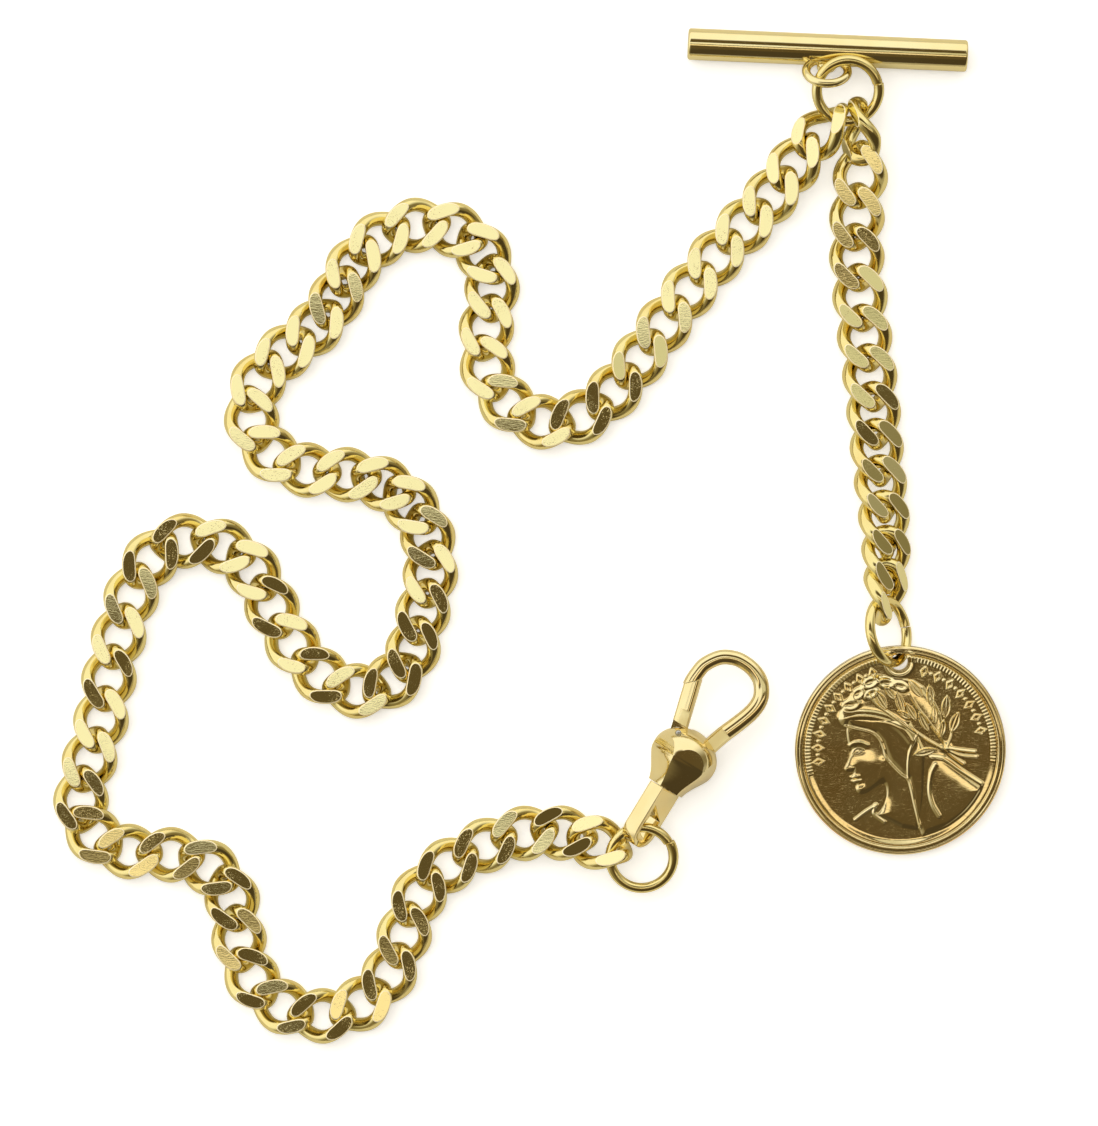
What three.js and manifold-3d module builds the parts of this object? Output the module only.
// A gentleman's pocket watch chain: a T-bar, a long curb chain, a swivel clasp for the
// watch's bow, and a short fob chain with a medal. It lies on the plane Z = 0.
// Millimetres, +Z up, with the origin under the middle of the whole outline.
import * as THREE from 'three';
import { mergeVertices } from 'three/addons/utils/BufferGeometryUtils.js';
import Module from 'manifold-3d';

const wasm = await Module();
wasm.setup();

// ---- driving dimensions --------------------------------------------------------------

// One curb link: an oval of round wire, twisted about its long axis and then ground flat
// on both sides.
const LINK_WIRE = 0.66;
const LINK_HALF_LENGTH = 3.03;
const LINK_HALF_WIDTH = 2.22;
const LINK_TWIST = 55;
const LINK_FLAT = 1.08;
const LINK_STEPS = 12;
const LINK_SIDES = 6;
const JOINING_BEAD = 0.7;

// The main chain: the points where each link touches the next, from the T-bar's ring to the
// clasp's ring.
const MAIN_ROUTE = [
  [33.1, 45.4], [30.0, 42.2], [27.5, 38.6], [24.8, 35.2], [21.6, 32.0], [18.7, 28.5],
  [15.9, 24.9], [13.3, 21.2], [10.7, 17.6], [7.8, 14.2], [3.7, 12.2], [-0.7, 13.1],
  [-3.7, 16.2], [-4.9, 20.6], [-3.9, 24.9], [-3.7, 29.0], [-5.8, 32.3], [-9.7, 34.0],
  [-14.1, 33.4], [-17.6, 31.0], [-19.6, 27.7], [-21.3, 24.2], [-24.2, 21.3], [-27.7, 18.9],
  [-29.9, 15.1], [-29.2, 10.7], [-25.8, 7.8], [-21.4, 7.2], [-17.2, 6.8], [-13.7, 5.2],
  [-11.3, 2.3], [-10.1, -1.6], [-10.7, -5.7], [-11.7, -9.7], [-12.8, -13.7], [-16.1, -16.4],
  [-20.5, -15.9], [-23.9, -13.0], [-26.5, -9.2], [-28.3, -5.0], [-30.6, -1.5], [-34.6, 0.1],
  [-38.9, -0.3], [-41.7, -3.8], [-43.1, -8.1], [-44.4, -12.5], [-45.2, -17.0], [-46.1, -21.4],
  [-47.6, -25.6], [-48.0, -29.9], [-45.0, -33.1], [-40.5, -33.6], [-36.0, -33.8],
  [-32.2, -36.3], [-31.1, -40.4], [-30.7, -44.9], [-28.3, -48.8], [-24.3, -51.0],
  [-19.8, -50.9], [-15.9, -48.5], [-13.7, -44.5], [-12.7, -40.1], [-10.5, -36.1],
  [-6.6, -33.7], [-2.5, -31.8], [1.9, -31.0], [5.9, -31.8], [9.5, -33.2],
];
const MAIN_LINKS = MAIN_ROUTE.length - 1;
// Links next to a ring stand up and lean over, so that they hook through it. These are the
// heights of the touching points and the lean of each link, counted from the ring.
const MAIN_START_HEIGHTS = [2.5, 2.3, 1.7, 1.28, 1.1];
const MAIN_START_LEANS = [38, 22, 8];
const MAIN_END_HEIGHTS = [2.9, 2.3, 1.65, 1.25, 1.1];
const MAIN_END_LEANS = [-36, -22, -9];

// The fob chain: the points where its links touch, and the lean of each link.
const FOB_ROUTE = [
  [35.28, 45.92, 2.93], [35.77, 41.33, 2.77], [35.4, 36.7, 2.04], [35.1, 32.4, 1.3], [35.4, 28.1, 1.1],
  [35.8, 23.8, 1.17], [36.4, 19.4, 1.33], [36.9, 15.3, 1.55], [37.2, 11.3, 1.8], [37.6, 7.4, 1.95],
  [38.0, 3.5, 2.32], [38.3, -0.2, 2.45], [38.3, -4.0, 2.75], [38.0, -7.0, 3.4],
];
const FOB_LEANS = [61.2, 36.7, 12, 2, 0, 4, 8, 14, 20, 28, 36, 45, 58];

// The T-bar, and the small loop soldered beside it.
const BAR = { radius: 1.7, length: 29.9, chamfer: 0.25, at: [32.1, 52.43], turn: -2.48 };
const LOOP = { radius: 2.2, wire: 0.45, at: [31.95, 50.29, 3.5], tilt: -56 };
const SOLDER_GAP = 0.3;

// The three jump rings: middle, turn about +Z, then tilt about their own X axis.
const TOP_RING = { radius: 3.3, wire: 0.56, at: [34.19, 47.94, 3.2], turn: 0, tilt: 15 };
const END_RING = { radius: 3.37, wire: 0.55, at: [12.2, -33.92, 2.84], turn: 0, tilt: 13 };
const COIN_RING = { radius: 3.38, wire: 0.55, at: [38.49, -9.72, 3.6], turn: -78.7, tilt: -59 };
const RING_STEPS = 20;
const RING_SIDES = 6;

// The medal: a struck disc with raised rims, hung from a small hole near its edge.
const COIN = { radius: 11.25, half: 0.7, field: 0.5, rim: 0.9, at: [39.86, -22.47], tilt: 7 };
const COIN_HOLE = { radius: 1.1, at: [-0.3, 9.55] };
const COIN_SEGMENTS = 36;

// The swivel clasp, in its own frame: +Y along its axis from the bail's ring hole to the
// hook, +X to the side away from the gate.
const SWIVEL = { at: [12.2, -30.55, 3.6], turn: -31.3 };
const BAIL = { bottom: -1.85, top: 4.45, half: 1.85, hole: 1.18, holeTurn: 30 };
const RIVET = { stem: 0.75, stemTop: 6.9, head: 1.15, headTop: 7.6 };
const BULB = [[2.04, 4.75], [2.5, 5.5], [3.0, 6.5], [3.35, 7.5], [3.55, 8.6], [3.55, 9.5],
  [3.2, 10.5], [2.5, 11.3], [1.5, 11.95]];
const BULB_TOP = 12.2;
const BULB_SIDES = 8;
const CAVITY = { bore: 0.9, shoulder: 6.6, chamber: 1.35, top: 7.95 };
const HOOK_WIRE = 0.88;
const HOOK_ROUTE = [[-3.45, 16.9], [-3.05, 18.2], [-1.75, 20.05], [0.1, 20.6], [1.95, 20.15],
  [3.3, 19.1], [3.8, 17.7], [3.6, 16.1], [2.95, 14.05], [2.15, 12.0], [1.7, 11.1]];
const HOOK_SOCKET = 0.12;
const HOOK_STEPS = 20;
const GATE = { pivot: [-1.9, 10.55], tip: [-3.38, 16.25], half: 0.85, thick: 0.75, open: 25 };
const GATE_ROOT_TOP = -0.05;
const PIN = { radius: 0.3, hole: 0.36, half: 2.3 };
const SPRING = { radius: 0.5, wire: 0.1, turns: 2.5, bottom: 0.02, pitch: 0.24 };
const SLOT_MARGIN = 0.14;
const ROUND = 10;

// Moves the finished layout so that its outline is centred and rests on Z = 0.
const CENTRE_SHIFT = [-0.22, -0.47, 0.05];

// ---- materials -----------------------------------------------------------------------

const GOLD = 0xd9b45a;
const WARM_GOLD = 0xcfa04a;
const STEEL = 0x8f9094;

function metal(color, roughness) {
  return new THREE.MeshStandardMaterial({ color, roughness, metalness: 1 });
}

// ---- geometry helpers ----------------------------------------------------------------

const rad = THREE.MathUtils.degToRad;

function weld(geometry) {
  geometry.deleteAttribute('normal');
  geometry.deleteAttribute('uv');
  return mergeVertices(geometry, 1e-4);
}

function solid(geometry) {
  return new wasm.Manifold(new wasm.Mesh({
    numProp: 3,
    vertProperties: new Float32Array(geometry.attributes.position.array),
    triVerts: new Uint32Array(geometry.index.array),
  }));
}

function toGeometry(manifold) {
  const mesh = manifold.getMesh();
  const geometry = new THREE.BufferGeometry();
  geometry.setAttribute('position', new THREE.BufferAttribute(mesh.vertProperties, 3));
  geometry.setIndex(new THREE.BufferAttribute(mesh.triVerts, 1));
  return geometry;
}

function moved(geometry, matrix) {
  const copy = geometry.clone();
  copy.applyMatrix4(matrix);
  return copy;
}

// A closed ring of wire: a torus whose middle line is bent onto the given closed curve.
function wireLoop(curve, radius, steps, sides) {
  const ring = new THREE.TorusGeometry(1, 0.1, sides, steps);
  const { uv, position } = ring.attributes;
  const step = 1e-4;
  for (let i = 0; i < position.count; i += 1) {
    const along = 2 * Math.PI * uv.getX(i);
    const around = 2 * Math.PI * uv.getY(i);
    const point = curve(along);
    const tangent = curve(along + step).sub(curve(along - step)).normalize();
    const outward = point.clone().addScaledVector(tangent, -point.dot(tangent)).normalize();
    const side = outward.clone().cross(tangent);
    point.addScaledVector(outward, radius * Math.cos(around));
    point.addScaledVector(side, radius * Math.sin(around));
    position.setXYZ(i, point.x, point.y, point.z);
  }
  return weld(ring);
}

function roundRod(radius, length, segments = ROUND) {
  return weld(new THREE.CylinderGeometry(radius, radius, length, segments));
}

function lathe(profile, segments) {
  return weld(new THREE.LatheGeometry(profile.map(([x, y]) => new THREE.Vector2(x, y)), segments));
}

// A round bar along a flat route, given as [x, y] points.
function bentBar(route, radius, steps, sides) {
  const circle = new THREE.Shape();
  circle.absarc(0, 0, radius, 0, 2 * Math.PI, false);
  const path = new THREE.CatmullRomCurve3(route.map(([x, y]) => new THREE.Vector3(x, y, 0)));
  const options = { steps, extrudePath: path, curveSegments: sides, bevelEnabled: false };
  return weld(new THREE.ExtrudeGeometry(circle, options));
}

// ---- curb links ----------------------------------------------------------------------

// Along the chain the right-hand bar rises in the front half, and the left-hand bar in the
// back half.
function linkCurve(angle) {
  const twist = -rad(LINK_TWIST) * Math.cos(angle);
  const across = LINK_HALF_WIDTH * Math.sin(angle);
  const along = LINK_HALF_LENGTH * Math.cos(angle);
  return new THREE.Vector3(along, across * Math.cos(twist), across * Math.sin(twist));
}

function linkGeometry() {
  const link = wireLoop(linkCurve, LINK_WIRE, LINK_STEPS, LINK_SIDES);
  const { position } = link.attributes;
  for (let i = 0; i < position.count; i += 1) {
    position.setZ(i, THREE.MathUtils.clamp(position.getZ(i), -LINK_FLAT, LINK_FLAT));
  }
  return link;
}

const LINK = linkGeometry();

// The frame of the link that spans two touching points: X along it, leaning by an angle.
function linkFrame(start, end, lean) {
  const forward = end.clone().sub(start).normalize();
  const left = new THREE.Vector3(0, 0, 1).cross(forward).normalize();
  const up = forward.clone().cross(left);
  const middle = start.clone().add(end).multiplyScalar(0.5);
  const frame = new THREE.Matrix4().makeBasis(forward, left, up);
  frame.multiply(new THREE.Matrix4().makeRotationX(rad(lean)));
  return frame.setPosition(middle);
}

function mainPoints() {
  const points = MAIN_ROUTE.map(([x, y]) => new THREE.Vector3(x, y, LINK_FLAT));
  MAIN_START_HEIGHTS.forEach((z, i) => points[i].setZ(z));
  MAIN_END_HEIGHTS.forEach((z, i) => points[MAIN_LINKS - i].setZ(z));
  return points;
}

function mainLean(index) {
  return MAIN_START_LEANS[index] ?? MAIN_END_LEANS[MAIN_LINKS - 1 - index] ?? 0;
}

function linkFrames(points, leanOf) {
  return points.slice(1).map((end, i) => linkFrame(points[i], end, leanOf(i)));
}

function linkMesh(name, frame) {
  const mesh = new THREE.Mesh(LINK.clone(), metal(GOLD, 0.15));
  mesh.name = name;
  frame.decompose(mesh.position, mesh.quaternion, mesh.scale);
  return mesh;
}

// Two neighbouring links made as one solid, held by a bead of solder where they touch.
function linkPairMesh(name, first, second, touch) {
  const inFirst = first.clone().invert();
  const other = moved(LINK, inFirst.clone().multiply(second));
  const bead = weld(new THREE.OctahedronGeometry(JOINING_BEAD));
  bead.applyMatrix4(new THREE.Matrix4().setPosition(touch.clone().applyMatrix4(inFirst)));
  const joined = solid(LINK).add(solid(other)).add(solid(bead));
  const mesh = new THREE.Mesh(toGeometry(joined), metal(GOLD, 0.15));
  mesh.name = name;
  first.decompose(mesh.position, mesh.quaternion, mesh.scale);
  return mesh;
}

function twoDigits(number) {
  return String(number).padStart(2, '0');
}

// The first link and the last two are single, and all the others are joined in pairs.
function mainChain() {
  const points = mainPoints();
  const frames = linkFrames(points, mainLean);
  const group = new THREE.Group();
  const singles = new Set([1, MAIN_LINKS - 1, MAIN_LINKS]);
  for (let n = 1; n <= MAIN_LINKS; n += 1) {
    if (singles.has(n)) {
      group.add(linkMesh(`main_link_${twoDigits(n)}`, frames[n - 1]));
    } else {
      const name = `main_links_${twoDigits(n)}_${twoDigits(n + 1)}`;
      group.add(linkPairMesh(name, frames[n - 1], frames[n], points[n]));
      n += 1;
    }
  }
  return group;
}

function fobChain() {
  const points = FOB_ROUTE.map(([x, y, z]) => new THREE.Vector3(x, y, z));
  const frames = linkFrames(points, (i) => FOB_LEANS[i]);
  const group = new THREE.Group();
  frames.forEach((frame, i) => group.add(linkMesh(`fob_link_${twoDigits(i + 1)}`, frame)));
  return group;
}

// ---- T-bar and rings -----------------------------------------------------------------

function barFrame() {
  const [x, y] = BAR.at;
  return new THREE.Matrix4().makeRotationZ(rad(BAR.turn + 90)).setPosition(x, y, BAR.radius);
}

function tBar() {
  const end = BAR.length / 2;
  const inner = BAR.radius - BAR.chamfer;
  const profile = [[0, -end], [inner, -end], [BAR.radius, BAR.chamfer - end],
    [BAR.radius, end - BAR.chamfer], [inner, end], [0, end]];
  const mesh = new THREE.Mesh(lathe(profile, 24), metal(GOLD, 0.15));
  mesh.name = 't_bar';
  barFrame().decompose(mesh.position, mesh.quaternion, mesh.scale);
  return mesh;
}

function tBarLoop() {
  const circle = (a) => new THREE.Vector3(Math.cos(a), Math.sin(a), 0).multiplyScalar(LOOP.radius);
  const place = new THREE.Matrix4().makeRotationX(rad(LOOP.tilt)).setPosition(...LOOP.at);
  const ring = moved(wireLoop(circle, LOOP.wire, RING_STEPS, RING_SIDES), place);
  const clearance = moved(roundRod(BAR.radius + SOLDER_GAP, BAR.length, 24), barFrame());
  const mesh = new THREE.Mesh(toGeometry(solid(ring).subtract(solid(clearance))), metal(GOLD, 0.2));
  mesh.name = 't_bar_loop';
  return mesh;
}

function jumpRing(name, { radius, wire, at, turn, tilt }) {
  const circle = (a) => new THREE.Vector3(Math.cos(a), Math.sin(a), 0).multiplyScalar(radius);
  const mesh = new THREE.Mesh(wireLoop(circle, wire, RING_STEPS, RING_SIDES), metal(GOLD, 0.2));
  mesh.name = name;
  mesh.position.set(...at);
  mesh.rotation.set(rad(tilt), 0, rad(turn), 'ZXY');
  return mesh;
}

// ---- medal ---------------------------------------------------------------------------

function coin() {
  const { radius, half, field, rim } = COIN;
  const profile = [[0, -field], [radius - rim - 0.3, -field], [radius - rim, -half],
    [radius - 0.2, -half], [radius, -field], [radius, field], [radius - 0.2, half],
    [radius - rim, half], [radius - rim - 0.3, field], [0, field]];
  const disc = lathe(profile, COIN_SEGMENTS).rotateX(Math.PI / 2);
  const hole = roundRod(COIN_HOLE.radius, 4 * half).rotateX(Math.PI / 2);
  hole.translate(...COIN_HOLE.at, 0);
  const mesh = new THREE.Mesh(toGeometry(solid(disc).subtract(solid(hole))), metal(WARM_GOLD, 0.3));
  mesh.name = 'coin';
  const lift = radius * Math.sin(rad(COIN.tilt)) + half * Math.cos(rad(COIN.tilt));
  mesh.position.set(...COIN.at, lift);
  mesh.rotation.x = rad(COIN.tilt);
  return mesh;
}

// ---- swivel clasp --------------------------------------------------------------------

function swivelMesh(name, geometry, material) {
  const mesh = new THREE.Mesh(geometry, material);
  mesh.name = name;
  return mesh;
}

// A square bar seen on its edge, with a cross hole for the ring and a riveted stem.
function bail() {
  const { bottom, top, half, hole, holeTurn } = BAIL;
  const profile = [[0, bottom], [half * 0.55, bottom], [half, bottom + 0.9], [half, top], [0, top]];
  const bar = lathe(profile, 4);
  const stem = roundRod(RIVET.stem, RIVET.stemTop - top + 0.4);
  stem.translate(0, (RIVET.stemTop + top - 0.4) / 2 + 0.1, 0);
  const head = roundRod(RIVET.head, RIVET.headTop - RIVET.stemTop);
  head.translate(0, (RIVET.headTop + RIVET.stemTop) / 2, 0);
  const cross = roundRod(hole, 6).rotateZ(Math.PI / 2).rotateZ(rad(holeTurn));
  const whole = solid(bar).add(solid(stem)).add(solid(head)).subtract(solid(cross));
  return swivelMesh('swivel_bail', toGeometry(whole), metal(WARM_GOLD, 0.15));
}

function gateBody(margin) {
  const [px, py] = GATE.pivot;
  const [tx, ty] = GATE.tip;
  const slant = Math.atan2(tx - px, ty - py);
  const reach = Math.hypot(tx - px, ty - py);
  const wide = GATE.half + margin;
  const outline = new THREE.Shape();
  outline.absarc(0, 0, wide, Math.PI, 2 * Math.PI, false);
  outline.lineTo(wide, reach + margin);
  outline.lineTo(-wide, reach + margin);
  outline.closePath();
  const thick = 2 * (GATE.thick + margin);
  const plate = new THREE.ExtrudeGeometry(outline, { depth: thick, bevelEnabled: false, curveSegments: 3 });
  return { plate: weld(plate).translate(0, 0, -thick / 2), slant, px, py };
}

// The gate: a flat lever whose root is thinned on one side to leave room for the spring.
function gate() {
  const { plate, slant, px, py } = gateBody(0);
  const relief = weld(new THREE.BoxGeometry(4, 2.4, 2)).translate(0, 0, GATE_ROOT_TOP + 1);
  const hole = roundRod(PIN.hole, 4).rotateX(Math.PI / 2);
  const lever = solid(plate).subtract(solid(relief)).subtract(solid(hole));
  const geometry = toGeometry(lever).rotateZ(-slant).translate(px, py, 0);
  return swivelMesh('swivel_gate', geometry, metal(WARM_GOLD, 0.2));
}

// Everything that the gate's root sweeps through on its way open.
function gateSlot() {
  const { plate, slant, px, py } = gateBody(SLOT_MARGIN);
  let slot = null;
  for (const turn of [0, -GATE.open / 2, -GATE.open]) {
    const swept = solid(moved(plate, new THREE.Matrix4().makeRotationZ(rad(turn) - slant)
      .setPosition(px, py, 0)));
    slot = slot ? slot.add(swept) : swept;
  }
  return slot;
}

function gatePin() {
  const geometry = roundRod(PIN.radius, 2 * PIN.half).rotateX(Math.PI / 2);
  geometry.translate(...GATE.pivot, 0);
  return swivelMesh('gate_pin', geometry, metal(STEEL, 0.3));
}

class Coil extends THREE.Curve {
  getPoint(t, target = new THREE.Vector3()) {
    const angle = 2 * Math.PI * SPRING.turns * t;
    const height = SPRING.bottom + SPRING.wire + SPRING.pitch * SPRING.turns * t;
    return target.set(SPRING.radius * Math.cos(angle), SPRING.radius * Math.sin(angle), height);
  }
}

// A torsion spring round the pin, beside the gate's root.
function gateSpring() {
  const circle = new THREE.Shape();
  circle.absarc(0, 0, SPRING.wire, 0, 2 * Math.PI, false);
  const options = { steps: 30, extrudePath: new Coil(), curveSegments: 3, bevelEnabled: false };
  const geometry = weld(new THREE.ExtrudeGeometry(circle, options)).translate(...GATE.pivot, 0);
  return swivelMesh('gate_spring', geometry, metal(STEEL, 0.3));
}

function hook() {
  const geometry = bentBar(HOOK_ROUTE, HOOK_WIRE, HOOK_STEPS, 4);
  return swivelMesh('swivel_hook', geometry, metal(WARM_GOLD, 0.15));
}

// The faceted bulb, hollowed for the riveted stem, with a slot for the gate, a socket for
// the hook's root and a hole for the gate's pin.
function swivelBody() {
  const [neck] = BULB;
  const profile = [[0, neck[1]], ...BULB, [0, BULB_TOP]];
  const bulb = lathe(profile, BULB_SIDES).rotateY(Math.PI / BULB_SIDES);
  const bore = roundRod(CAVITY.bore, 4).translate(0, CAVITY.shoulder - 1.9, 0);
  const chamber = roundRod(CAVITY.chamber, CAVITY.top - CAVITY.shoulder);
  chamber.translate(0, (CAVITY.top + CAVITY.shoulder) / 2, 0);
  const socket = bentBar(HOOK_ROUTE.slice(-4), HOOK_WIRE + HOOK_SOCKET, 6, 4);
  const floor = roundRod(HOOK_WIRE + HOOK_SOCKET, 0.6).rotateZ(rad(-27));
  floor.translate(1.66, 11.0, 0);
  const pinHole = roundRod(PIN.hole, 8).rotateX(Math.PI / 2).translate(...GATE.pivot, 0);
  const whole = solid(bulb).subtract(solid(bore)).subtract(solid(chamber))
    .subtract(solid(socket)).subtract(solid(floor)).subtract(solid(pinHole)).subtract(gateSlot());
  return swivelMesh('swivel_body', toGeometry(whole), metal(WARM_GOLD, 0.15));
}

function swivel() {
  const group = new THREE.Group();
  group.position.set(...SWIVEL.at);
  group.rotation.z = rad(SWIVEL.turn);
  group.add(bail(), swivelBody(), hook(), gate(), gatePin(), gateSpring());
  return group;
}

// ---- assembly ------------------------------------------------------------------------

const watchChain = new THREE.Group();
watchChain.position.set(...CENTRE_SHIFT);
watchChain.add(
  tBar(),
  tBarLoop(),
  jumpRing('top_jump_ring', TOP_RING),
  mainChain(),
  jumpRing('end_jump_ring', END_RING),
  swivel(),
  fobChain(),
  jumpRing('coin_ring', COIN_RING),
  coin(),
);

export default watchChain;
